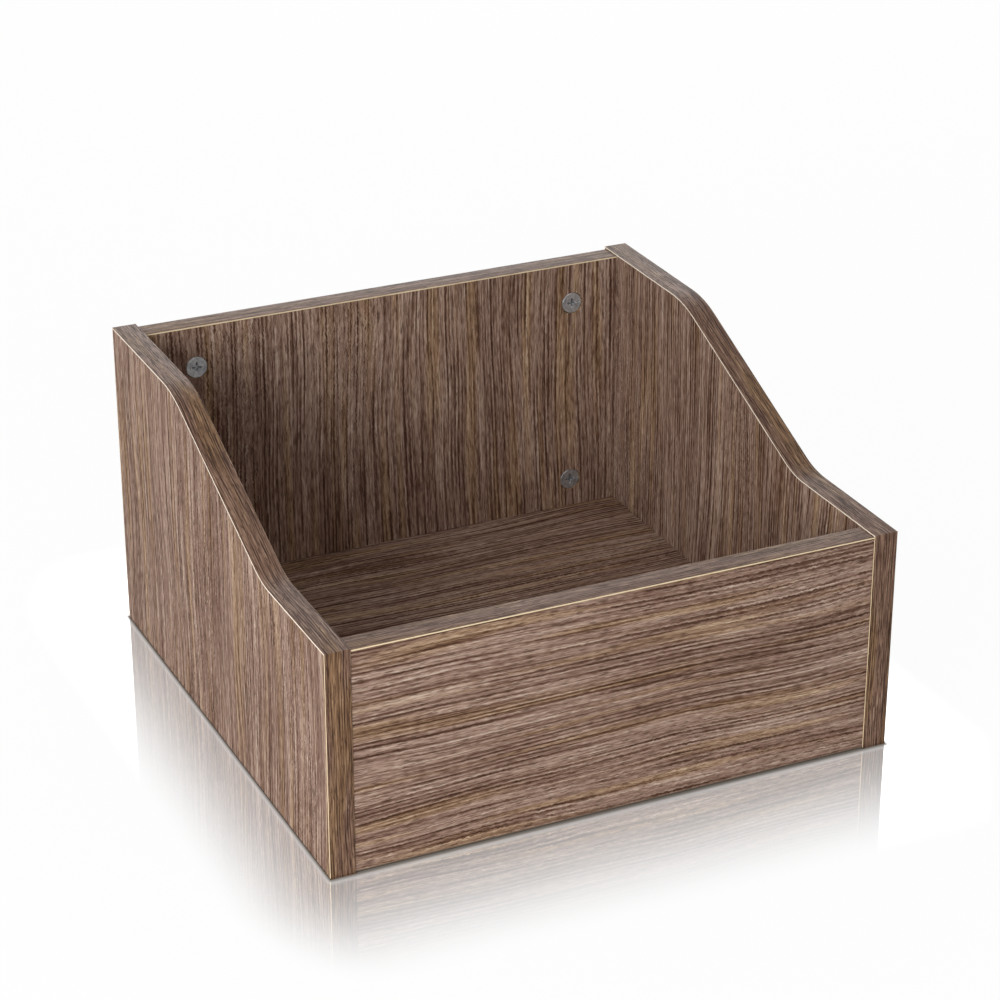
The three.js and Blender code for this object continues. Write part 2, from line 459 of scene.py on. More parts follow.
@dataclass(frozen=True)
class WoodPrint:
    """A walnut print as decor paper and edge bands carry it.

    Attributes:
        inks: The inks of its mauve-brown parts.
        warm_inks: The inks of its ochre parts.
        rings: The dark lines.
        tones: The layers that make it darker and paler.
        warmth: The layer that says where the ochre parts lie.
        bends: The layers that bend the grain, with their reach in mm as weight.
        ripple: The layer that ripples the grain, with its reach in mm as weight.
        rippled: The layer that says where it ripples most.
        pores: The layer of dark pores.
        pore_ink: The pores' colour.
        pitted: How much of that ink a pore has, by its marks.
        zone: How much of the ripple's reach is left, by the marks of where it ripples.
        warmed: How ochre the inks are, by the marks of the warmth.
    """

    inks: Inks
    warm_inks: Inks
    rings: Rings
    tones: tuple[Layer, ...]
    warmth: Layer
    bends: tuple[Layer, ...]
    ripple: Layer
    rippled: Layer
    pores: Layer
    pore_ink: str
    pitted: Ramp
    zone: Ramp = Ramp(0.45, 0.6, low=0.3)
    warmed: Ramp = Ramp(0.5, 0.66)

    def draw(self, tree: Tree, cut: Cut) -> tuple[Socket, Socket]:
        """Adds the whole print.

        Args:
            tree: The tree that takes the nodes.
            cut: How the print lies.

        Returns:
            The print's colour, and its relief from 0, a pore, to 1.
        """
        draft = Draft(tree, cut)
        for layer in self.bends:
            draft.bend(draft.marks(layer), layer.weight)
        zone = add_node(tree, "MapRange", {0: draft.marks(self.rippled), **self.zone.values})
        inputs = {0: draft.marks(self.ripple), 1: zone}
        draft.bend(add_node(tree, "Math", inputs, operation="MULTIPLY"), self.ripple.weight)

        tone = draft.tone(self.tones, self.rings)
        inputs = {0: draft.marks(self.warmth), **self.warmed.values}
        warm = add_node(tree, "MapRange", inputs, interpolation_type="SMOOTHSTEP")
        inputs = {0: warm, 6: self.inks.lay(tree, tone), 7: self.warm_inks.lay(tree, tone)}
        colour = add_node(tree, "Mix", inputs, data_type="RGBA")
        inputs = {0: draft.marks(self.pores), **self.pitted.values}
        pores = add_node(tree, "MapRange", inputs, interpolation_type="SMOOTHSTEP")
        inputs = {0: pores, 6: colour, 7: linear(self.pore_ink)}
        colour = add_node(tree, "Mix", inputs, data_type="RGBA")
        inputs = {0: tone, 1: pores}
        return colour, add_node(tree, "Math", inputs, operation="SUBTRACT", use_clamp=True)


# Walnut's growth rings are 2 to 3 mm apart. Its pores are about 0.2 mm wide, and they are
# drawn about three times as wide so that they show.
WALNUT_PAPER = WoodPrint(
    inks=Inks(("452f26", "654a3d", "8b7062", "ad9383", "cdb9a9")),
    warm_inks=Inks(("452f23", "674c39", "90735a", "b1947a", "d0b99f")),
    rings=Rings(spacing=2.8, length=110, start=0.05, darkest=0.6, end=0.95, weight=0.46),
    tones=(
        Layer(width=0.7, length=7, weight=0.85),
        Layer(width=1.0, length=55, weight=0.95),
        Layer(width=2.4, length=150, weight=0.55),
        Layer(width=14, length=240, weight=0.35),
    ),
    warmth=Layer(width=8, length=200, detail=1.5),
    bends=(
        Layer(width=85, length=190, weight=17),
        Layer(width=10, length=400, detail=0.0, weight=2.2),
    ),
    ripple=Layer(width=1.6, length=2.6, detail=1.5, weight=2.4),
    rippled=Layer(width=60, length=420, detail=0.0),
    pores=Layer(width=0.7, length=8),
    pore_ink="4c362c",
    pitted=Ramp(0.56, 0.7, high=0.65),
)

# The bands' print is darker and finer, and it shares the paper's way of drawing pores.
BAND_TONES = (0.0, 0.3, 0.5, 0.75, 1.0)
WALNUT_BAND = WoodPrint(
    inks=Inks(("2d1e16", "49332a", "6c5143", "8a6d5a", "a98d79"), BAND_TONES),
    warm_inks=Inks(("2d1e13", "4a3426", "6e523c", "8c6d51", "aa8c6e"), BAND_TONES),
    rings=Rings(spacing=1.6, length=35, start=0.2, end=0.86, weight=0.45),
    tones=(
        Layer(width=0.7, length=14, detail=1.5, weight=1.3),
        Layer(width=2.2, length=90, detail=0.0, weight=0.5),
    ),
    warmth=Layer(width=9, length=110),
    bends=(
        Layer(width=30, length=60, detail=0.0, weight=3),
        Layer(width=3, length=30, detail=0.0, weight=0.9),
    ),
    ripple=Layer(width=1.2, length=2.5, weight=0.4),
    rippled=Layer(width=40, length=200, detail=0.0),
    pores=Layer(width=0.55, length=5),
    pore_ink="3c2a20",
    pitted=Ramp(0.56, 0.7, high=0.7),
)


# ---- finishes --------------------------------------------------------------


class Finish:
    """What every finish shares: a material made of one surface."""

    def surface(self, tree: Tree) -> Socket:
        """Adds the finish's shader.

        Args:
            tree: The tree that takes the nodes.

        Returns:
            The shader's output.
        """
        raise NotImplementedError

    def material(self, name: str) -> bpy.types.Material:
        """Makes the finish's material.

        Args:
            name: The material's name.

        Returns:
            The material.
        """
        material = bpy.data.materials.new(name)
        material.use_nodes = True
        tree = material.node_tree
        tree.nodes.clear()
        add_node(tree, "OutputMaterial", {"Surface": self.surface(tree)})
        return material


@dataclass(frozen=True)
class FacedChipboard(Finish):
    """Melamine-faced chipboard: printed paper soaked in resin and pressed on both faces.

    The resin gives the print a smooth satin skin with a faint emboss from the press plate.
    Where the board is bored or sawn, the eye sees bare chips between two thin brown sheets.

    Attributes:
        cut: How the print lies on the board.
        middle: The board's middle plane, in mm along the direction through it.
        thickness: The board's thickness in mm.
        paper: One facing sheet's thickness in mm, with its resin.
        decor: The wood print.
        emboss: The depth of the press plate's emboss in mm.
        satin: The skin's roughness, by the print's relief.
        chip: The length of a pressed chip in mm.
        chips: The colours of the chips.
    """

    cut: Cut
    middle: float
    thickness: float
    paper: float = 0.25
    decor: WoodPrint = WALNUT_PAPER
    emboss: float = 0.035
    satin: Ramp = Ramp(end=0.6, low=0.6, high=0.46)
    chip: float = 1.4
    chips: Inks = Inks(("7d5f3f", "b08f63", "d2b78c"), (0.0, 0.5, 1.0))

    def core(self, tree: Tree) -> tuple[Socket, Socket]:
        """Adds the pressed chips.

        Args:
            tree: The tree that takes the nodes.

        Returns:
            The chips' colour, and where the board shows them: 0 in a facing sheet and 1
            between the two sheets.
        """
        place = add_node(tree, "TexCoord", {}, output="Object")
        inputs = {"Vector": place, "Scale": PER_METRE / self.chip}
        chips = add_node(tree, "TexVoronoi", inputs, output="Color")
        chips = add_node(tree, "SeparateColor", {"Color": chips}, output="Red")
        side = add_node(tree, "SeparateXYZ", {0: place}, output=self.cut.through.name)
        inputs = {0: side, 1: self.middle * MM}
        depth = add_node(tree, "Math", inputs, operation="SUBTRACT")
        depth = add_node(tree, "Math", {0: depth}, operation="ABSOLUTE")
        inputs = {0: depth, 1: (self.thickness / 2 - self.paper) * MM}
        bare = add_node(tree, "Math", inputs, operation="LESS_THAN")
        return self.chips.lay(tree, chips), bare

    def surface(self, tree: Tree) -> Socket:
        """Adds the board's shader.

        Args:
            tree: The tree that takes the nodes.

        Returns:
            The shader's output.
        """
        printed, relief = self.decor.draw(tree, self.cut)
        chips, bare = self.core(tree)
        colour = add_node(tree, "Mix", {0: bare, 6: printed, 7: chips}, data_type="RGBA")
        # A pore takes the resin's shine away, so the roughness follows the relief.
        satin = add_node(tree, "MapRange", {0: relief, **self.satin.values})
        inputs = {
            "Base Color": colour,
            "Roughness": add_node(tree, "Math", {0: satin, 1: bare}, operation="MAXIMUM"),
            "IOR": 1.5,
            "Specular IOR Level": 0.03,
            "Normal": add_node(tree, "Bump", {"Height": relief, "Distance": self.emboss * MM}),
        }
        return add_node(tree, "BsdfPrincipled", inputs)


class Plastic(Enum):
    """The bands' plastic: its colour, and that of the dust from its trimming. The two lower
    ones are painted shade, darkened to draw the shadow line along the stand's foot.
    """

    CREAM = ("fff2df", "d8c0a4")
    HANDLED = ("f3ddb6", "c4a57e")
    # Painted shade: darkened brown, so the front and back boards' bottom bands draw the shadow line
    # under them.
    BROWN = ("7f6c5b", "6b5a4c")
    # Painted shade: nearly black, so the side boards' bottom bands draw the shadow line along the
    # foot.
    DARK = ("2e2621", "251f1b")


@dataclass(frozen=True)
class PrintedBand(Finish):
    """Edge band: extruded ABS, one colour right through, with a walnut print on its face.

    It is glued to the sawn edge and trimmed flush. The eye sees the plastic of its two cut
    sides as a thin line along every board: cream, yellowed at the front where hands touch
    it. On the lower edges it is brown under the front and back boards and nearly black under
    the sides, as painted shade for the shadow line along the stand's foot.

    Attributes:
        cut: How the print lies on the band.
        plastic: The bare plastic.
        decor: The wood print.
        emboss: The depth of the print's emboss in mm.
        satin: The print's roughness, by its relief.
        chatter: How unevenly the cutter has trimmed.
        trimmed: How far round the arris the print is cut away, by the chatter's marks.
        specks: How the dust lies.
        dusted: How much dust there is, by the specks' marks.
    """

    cut: Cut
    plastic: Plastic = Plastic.CREAM
    decor: WoodPrint = WALNUT_BAND
    emboss: float = 0.04
    satin: Ramp = Ramp(end=0.6, low=0.55, high=0.4)
    chatter: Layer = Layer(width=3, length=6, detail=2.0)
    trimmed: Ramp = Ramp(low=0.3, high=0.9)
    specks: Layer = Layer(width=2, length=9, detail=3.0)
    dusted: Ramp = Ramp(0.5, 0.75, high=0.5)

    def surface(self, tree: Tree) -> Socket:
        """Adds the band's shader.

        Args:
            tree: The tree that takes the nodes.

        Returns:
            The shader's output.
        """
        printed, relief = self.decor.draw(tree, self.cut)
        draft = Draft(tree, self.cut)
        # The trim runs from 0 on a cut side to 1 on the printed face.
        trim = add_node(tree, "Attribute", {}, output="Fac", attribute_name=TRIM)
        inputs = {0: draft.marks(self.chatter), **self.trimmed.values}
        uneven = add_node(tree, "MapRange", inputs)
        kept = add_node(tree, "Math", {0: trim, 1: uneven}, operation="GREATER_THAN")
        dusty = add_node(tree, "MapRange", {0: draft.marks(self.specks), **self.dusted.values})
        clean, dust = (linear(colour) for colour in self.plastic.value)
        bare = add_node(tree, "Mix", {0: dusty, 6: clean, 7: dust}, data_type="RGBA")
        inputs = {
            "Base Color": add_node(tree, "Mix", {0: kept, 6: bare, 7: printed}, data_type="RGBA"),
            "Roughness": add_node(tree, "MapRange", {0: relief, **self.satin.values}),
            "IOR": 1.52,
            "Specular IOR Level": 0.12,
            "Normal": add_node(tree, "Bump", {"Height": relief, "Distance": self.emboss * MM}),
        }
        return add_node(tree, "BsdfPrincipled", inputs)


@dataclass(frozen=True)
class DieCastZinc(Finish):
    """Cam locks: zinc cast in a steel die and left as cast.

    The die gives a fine even grain, and the metal soon dulls to a mid grey in clouds.

    Attributes:
        metal: The metal's colour where it is still bright.
        dull: Its colour where it has dulled.
        cloud: The size of the dull clouds in mm.
        dulled: How dull the metal is, by the clouds.
        roughness: Its roughness, by the clouds.
        grain: The size of the cast grain in mm, three times the real one so that it shows.
        depth: The grain's depth in mm.
    """

    metal: str = "cfd1d3"
    dull: str = "a3a5a8"
    cloud: float = 4.0
    dulled: Ramp = Ramp(0.4, 0.65)
    roughness: Ramp = Ramp(low=0.45, high=0.7)
    grain: float = 0.35
    depth: float = 0.03

    def surface(self, tree: Tree) -> Socket:
        """Adds the metal's shader.

        Args:
            tree: The tree that takes the nodes.

        Returns:
            The shader's output.
        """
        place = add_node(tree, "TexCoord", {}, output="Object")
        inputs = {"Vector": place, "Scale": PER_METRE / self.cloud, "Detail": 4.0}
        clouds = add_node(tree, "TexNoise", inputs)
        grain = add_node(tree, "TexNoise", {"Vector": place, "Scale": PER_METRE / self.grain})
        dulled = add_node(tree, "MapRange", {0: clouds, **self.dulled.values})
        inputs = {0: dulled, 6: linear(self.metal), 7: linear(self.dull)}
        inputs = {
            "Base Color": add_node(tree, "Mix", inputs, data_type="RGBA"),
            "Metallic": 1.0,
            "Roughness": add_node(tree, "MapRange", {0: clouds, **self.roughness.values}),
            "Normal": add_node(tree, "Bump", {"Height": grain, "Distance": self.depth * MM}),
        }
        return add_node(tree, "BsdfPrincipled", inputs)


@dataclass(frozen=True)
class ZincPlatedSteel(Finish):
    """Cam bolts: turned steel with a thin bright zinc plating.

    The lathe leaves fine rings round the shank, which the plating softens to a sheen.

    Attributes:
        plating: The plating's colour.
        stain: Its colour where it has a yellowish stain.
        cloud: The size of the stains in mm.
        stained: How stained the plating is, by the clouds.
        roughness: Its roughness, by the clouds.
        ring: The distance between two tool marks in mm.
        depth: Their depth in mm.
    """

    plating: str = "c9c8c4"
    stain: str = "b5ac93"
    cloud: float = 3.0
    stained: Ramp = Ramp(0.5, 0.7)
    roughness: Ramp = Ramp(low=0.15, high=0.4)
    ring: float = 0.25
    depth: float = 0.01

    def surface(self, tree: Tree) -> Socket:
        """Adds the metal's shader.

        Args:
            tree: The tree that takes the nodes.

        Returns:
            The shader's output.
        """
        place = add_node(tree, "TexCoord", {}, output="Object")
        inputs = {"Vector": place, "Scale": PER_METRE / self.cloud, "Detail": 3.0}
        clouds = add_node(tree, "TexNoise", inputs)
        inputs = {0: place, 1: (PER_METRE / self.ring, 1.0, 1.0)}
        drawn = add_node(tree, "VectorMath", inputs, operation="MULTIPLY")
        rings = add_node(tree, "TexNoise", {"Vector": drawn, "Scale": 1.0, "Detail": 0.0})
        stained = add_node(tree, "MapRange", {0: clouds, **self.stained.values})
        inputs = {0: stained, 6: linear(self.plating), 7: linear(self.stain)}
        inputs = {
            "Base Color": add_node(tree, "Mix", inputs, data_type="RGBA"),
            "Metallic": 1.0,
            "Roughness": add_node(tree, "MapRange", {0: clouds, **self.roughness.values}),
            "Normal": add_node(tree, "Bump", {"Height": rings, "Distance": self.depth * MM}),
        }
        return add_node(tree, "BsdfPrincipled", inputs)


@dataclass(frozen=True)
class FlutedBeech(Finish):
    """Dowels: steamed beech, turned and fluted, and left bare.

    Beech is pale and pinkish, with short dark flecks along its grain.

    Attributes:
        wood: The wood's colours.
        streak: The paler and darker streaks of its grain.
        fleck: The flecks.
        flecked: How dark a fleck is, by its marks.
        fleck_ink: The flecks' colour.
        roughness: The wood's roughness, by the flecks.
        depth: How far a fleck stands out, in mm.
    """

    wood: Inks = Inks(("b58e67", "cfa982", "dfc09b"), (0.2, 0.5, 0.8))
    streak: Layer = Layer(width=1.2, length=30, detail=2.0)
    fleck: Layer = Layer(width=0.3, length=2.5)
    flecked: Ramp = Ramp(0.6, 0.7)
    fleck_ink: str = "8e6544"
    roughness: Ramp = Ramp(low=0.7, high=0.85)
    depth: float = 0.03

    def surface(self, tree: Tree) -> Socket:
        """Adds the wood's shader, with its grain along the dowels.

        Args:
            tree: The tree that takes the nodes.

        Returns:
            The shader's output.
        """
        draft = Draft(tree, Cut(Axis.X, Axis.Y))
        colour = self.wood.lay(tree, draft.marks(self.streak))
        flecks = add_node(tree, "MapRange", {0: draft.marks(self.fleck), **self.flecked.values})
        inputs = {0: flecks, 6: colour, 7: linear(self.fleck_ink)}
        inputs = {
            "Base Color": add_node(tree, "Mix", inputs, data_type="RGBA"),
            "Roughness": add_node(tree, "MapRange", {0: flecks, **self.roughness.values}),
            "IOR": 1.45,
            "Normal": add_node(tree, "Bump", {"Height": flecks, "Distance": self.depth * MM}),
        }
        return add_node(tree, "BsdfPrincipled", inputs)


# ---- edge bands ------------------------------------------------------------


@dataclass(frozen=True)
class Station:
    """A point on a band's outer line, and the way out from the board there, in mm."""

    point: Vector
    out: Vector


@dataclass(frozen=True)
class Swoop:
    """The swoop along the top of a side board, in depth and height.

    Attributes:
        front: The board's front edge, in mm along Y.
        rear: Its rear edge.
        low: The height of its top at the front.
        high: The height of its top at the rear.
        slope: How steep the straight part is, in degrees.
        middle: From the front edge to the middle of the slope.
        hollow: The radius where the low front runs into the slope.
        crown: The radius where the slope runs into the high rear.
        steps: How many straight steps each arc has.
    """

    front: float
    rear: float
    low: float
    high: float
    slope: float = 23.0
    middle: float = 174.0
    hollow: float = 60.0
    crown: float = 80.0
    steps: int = 20

    def arc(self, centre: tuple[float, float], radius: float, turns: Iterable[float]) -> list[Station]:
        """Makes the stations of one arc.

        Args:
            centre: The arc's centre, in mm along Y and Z.
            radius: Its radius, below 0 where the edge is under its centre.
            turns: How steep the edge is at each station, in degrees.

        Returns:
            The stations.
        """
        outs = [Vector((0.0, -math.sin(math.radians(t)), math.cos(math.radians(t)))) for t in turns]
        return [Station(Vector((0.0, *centre)) + out * radius, out) for out in outs]

    def stations(self) -> list[Station]:
        """Makes the stations of the whole top edge.

        Returns:
            The stations, from front to rear.
        """
        sine = math.sin(math.radians(self.slope))
        cosine = math.cos(math.radians(self.slope))
        centre_y = self.front + self.middle
        centre_z = (self.low + self.high) / 2
        hollow_z = self.low + self.hollow
        crown_z = self.high - self.crown
        hollow_y = centre_y + ((hollow_z - centre_z) * cosine - self.hollow) / sine
        crown_y = centre_y + ((crown_z - centre_z) * cosine + self.crown) / sine
        turns = [self.slope * step / self.steps for step in range(self.steps + 1)]
        up = Axis.Z.unit
        return [
            Station(Vector((0.0, self.front, self.low)), up),
            *self.arc((hollow_y, hollow_z), -self.hollow, turns),
            *self.arc((crown_y, crown_z), self.crown, reversed(turns)),
            Station(Vector((0.0, self.rear, self.high)), up),
        ]


@dataclass
class EdgeBand:
    """A strip of edge band, with its arrises eased by the trimming cutter.

    Attributes:
        node: The frame node that it stands for.
        stations: The band's outer line, from end to end.
        sideways: The direction across the band.
        middle: The band's middle, in mm along that direction.
        width: The band's width in mm.
        thickness: Its thickness in mm.
        arris: The radius of its eased arrises in mm.
        steps: How many steps each arris has.
    """

    node: str
    stations: list[Station]
    sideways: Axis
    middle: float
    width: float
    thickness: float
    arris: float = 0.22
    steps: int = 4

    @classmethod
    def straight(cls, node: str, run: Axis, out: Vector) -> "EdgeBand":
        """Makes a straight band from its frame node's box.

        Args:
            node: The frame node.
            run: The direction that the band runs in.
            out: The way out from the board.

        Returns:
            The band.
        """
        low, high = box_mm(node)
        sideways = next(a for a in Axis if a is not run and abs(a.unit.dot(out)) < 0.5)
        start = Vector([high[i] if out[i] > 0 else low[i] for i in range(3)])
        start[sideways.value] = 0.0
        start[run.value] = low[run.value]
        end = start.copy()
        end[run.value] = high[run.value]
        return cls(
            node=node,
            stations=[Station(point, out) for point in (start, start.lerp(end, 0.5), end)],
            sideways=sideways,
            middle=(low[sideways.value] + high[sideways.value]) / 2,
            width=high[sideways.value] - low[sideways.value],
            thickness=abs((high - low).dot(out)),
        )

    def profile(self) -> list[tuple[float, float, float]]:
        """Makes half of the band's section, from its glued face to its printed one.

        Returns:
            How far each point is in from the band's side, how deep it is under the printed
            face, and its trim.
        """
        turns = [step / self.steps for step in range(self.steps + 1)]
        easing = [(math.cos(t * math.pi / 2), math.sin(t * math.pi / 2), t) for t in turns]
        return [
            (0.0, self.thickness, 0.0),
            *((self.arris * (1 - c), self.arris * (1 - s), t) for c, s, t in easing),
        ]

    def ring(self, station: Station, sink: float) -> list[tuple[Vector, float]]:
        """Makes the band's section at one station.

        Args:
            station: Where it is.
            sink: How far the printed face is eased down there, in mm.

        Returns:
            The section's points in mm, each with its trim.
        """
        half = self.profile()
        ring = []
        for sign, side in ((-1, half), (1, half[::-1])):
            for inward, deep, trim in side:
                across = self.middle + sign * (self.width / 2 - inward)
                point = station.point - station.out * max(deep, sink)
                ring.append((point + self.sideways.unit * across, trim))
        return ring

    def rings(self) -> list[list[tuple[Vector, float]]]:
        """Makes the sections, with the arrises of the band's two ends eased.

        Returns:
            The sections from end to end.
        """
        ends = []
        for end, inner in (self.stations[:2], self.stations[:-3:-1]):
            run = (inner.point - end.point).normalized()
            eased = []
            for inward, deep, _ in self.profile()[1:]:
                eased.append(self.ring(Station(end.point + run * inward, end.out), deep))
            ends.append(eased)
        body = [self.ring(station, 0.0) for station in self.stations[1:-1]]
        return [*ends[0], *body, *reversed(ends[1])]

    def mesh(self) -> bpy.types.Mesh:
        """Makes the band's mesh.

        Returns:
            The mesh, with its trim on the faces' corners.
        """
        build = bmesh.new()
        trim = build.loops.layers.float.new(TRIM)
        rings = self.rings()
        rows = [[build.verts.new(point * MM) for point, _ in ring] for ring in rings]
        trims = {vert: t for row, ring in zip(rows, rings) for vert, (_, t) in zip(row, ring)}
        ends = skin(build, rows)
        for face in build.faces:
            for loop in face.loops:
                loop[trim] = 1.0 if face in ends else trims[loop.vert]
        return finished_mesh(self.node, build)

    def stand(self, finish: PrintedBand) -> bpy.types.Object:
        """Puts the band in the scene.

        Args:
            finish: The band's finish.

        Returns:
            The band's piece.
        """
        name = self.node.replace("edge_band", "printed_band")
        mesh = self.mesh()
        mesh.materials.append(finish.material(f"walnut_{name}"))
        return stand_piece(name, mesh, self.node)


# ---- boards ----------------------------------------------------------------


def face_board(node: str, cut: Cut) -> bpy.types.Object:
    """Gives a frame board its facing.

    Args:
        node: The board's frame node.
        cut: How the print lies on it.

    Returns:
        The board.
    """
    low, high = box_mm(node)
    axis = cut.through.value
    middle = (low[axis] + high[axis]) / 2
    finish = FacedChipboard(cut=cut, middle=middle, thickness=high[axis] - low[axis])
    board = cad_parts[node]
    board.material_slots[0].material = finish.material(f"faced_chipboard_{node}")
    return board


@dataclass
class SideBoard:
    """A side board with the bands on its four edges.

    Attributes:
        side: The end of the stand that it is, left or right.
        offset: Where on the endless print its facing was cut, in mm.
    """

    side: str
    offset: tuple[float, float, float]

    def build(self) -> list[bpy.types.Object]:
        """Faces the board and makes its bands.

        Returns:
            The board and its bands.
        """
        board = face_board(f"side_board_{self.side}", Cut(Axis.Z, Axis.X, self.offset))
        edges = {
            "front": (Axis.Z, -Axis.Y.unit, Axis.Y, Plastic.HANDLED),
            "rear": (Axis.Z, Axis.Y.unit, Axis.Y, Plastic.CREAM),
            # The bottom band's plastic is painted shade: it draws the shadow line along the side's
            # foot.
            "bottom": (Axis.Y, -Axis.Z.unit, Axis.Z, Plastic.DARK),
        }
        bands = [self.top_band()]
        for edge, (run, out, through, plastic) in edges.items():
            band = EdgeBand.straight(f"edge_band_{self.side}_{edge}", run, out)
            bands.append(band.stand(PrintedBand(Cut(run, through, self.offset), plastic)))
        return [board, *bands]

    def top_band(self) -> bpy.types.Object:
        """Makes the band along the swoop.

        Returns:
            The band's piece.
        """
        node = f"edge_band_{self.side}_top"
        low, high = box_mm(node)
        thickness = box_mm(f"edge_band_{self.side}_bottom")[1].z
        front_top = box_mm(f"edge_band_{self.side}_front")[1].z
        swoop = Swoop(front=low.y, rear=high.y, low=front_top + thickness, high=high.z)
        band = EdgeBand(
            node=node,
            stations=swoop.stations(),
            sideways=Axis.X,
            middle=(low.x + high.x) / 2,
            width=high.x - low.x,
            thickness=thickness,
        )
        return band.stand(PrintedBand(Cut(Axis.Y, Axis.Z, self.offset)))


@dataclass
class CrossBoard:
    """A board that stands between the sides, with bands on its top and bottom edges.

    Attributes:
        place: Its name in the frame's nodes, front or back.
        grain: The direction of the print's grain.
        offset: Where on the endless print its facing was cut, in mm.
    """

    place: str
    grain: Axis
    offset: tuple[float, float, float]

    def build(self) -> list[bpy.types.Object]:
        """Faces the board and makes its bands.

        Returns:
            The board and its bands.
        """
        pieces = [face_board(f"{self.place}_board", Cut(self.grain, Axis.Y, self.offset))]
        edges = {
            "top": (Axis.Z.unit, Plastic.HANDLED),
            # The bottom band's plastic is painted shade: it draws the shadow line under the board.
            "bottom": (-Axis.Z.unit, Plastic.BROWN),
        }
        for edge, (out, plastic) in edges.items():
            band = EdgeBand.straight(f"edge_band_{self.place}_{edge}", Axis.X, out)
            pieces.append(band.stand(PrintedBand(Cut(Axis.X, Axis.Z, self.offset), plastic)))
        return pieces


@dataclass
class BaseBoard:
    """The board that the records stand on. Its edges have no bands.

    Attributes:
        offset: Where on the endless print its facing was cut, in mm.
    """

    offset: tuple[float, float, float]

    def build(self) -> list[bpy.types.Object]:
        """Faces the board."""
        return [face_board("base_board", Cut(Axis.X, Axis.Z, self.offset))]


# ---- fittings --------------------------------------------------------------


class Fitting(Enum):
    """The small parts that keep their shape: their nodes' name, material and finish."""

    BOLT = ("cam_bolt", "zinc_plated_steel", ZincPlatedSteel())
    DOWEL = ("dowel", "fluted_beech", FlutedBeech())


class PlainFittings:
    """The bolts and dowels inside the boards."""

    def build(self) -> list[bpy.types.Object]:
        """Gives every bolt and dowel its finish.

        Returns:
            The bolts and dowels.
        """
        pieces = []
        for fitting in Fitting:
            start, stuff, finish = fitting.value
            material = finish.material(stuff)
            for name, piece in sorted(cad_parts.items()):
                if name.startswith(start):
                    piece.material_slots[0].material = material
                    pieces.append(piece)
        return pieces


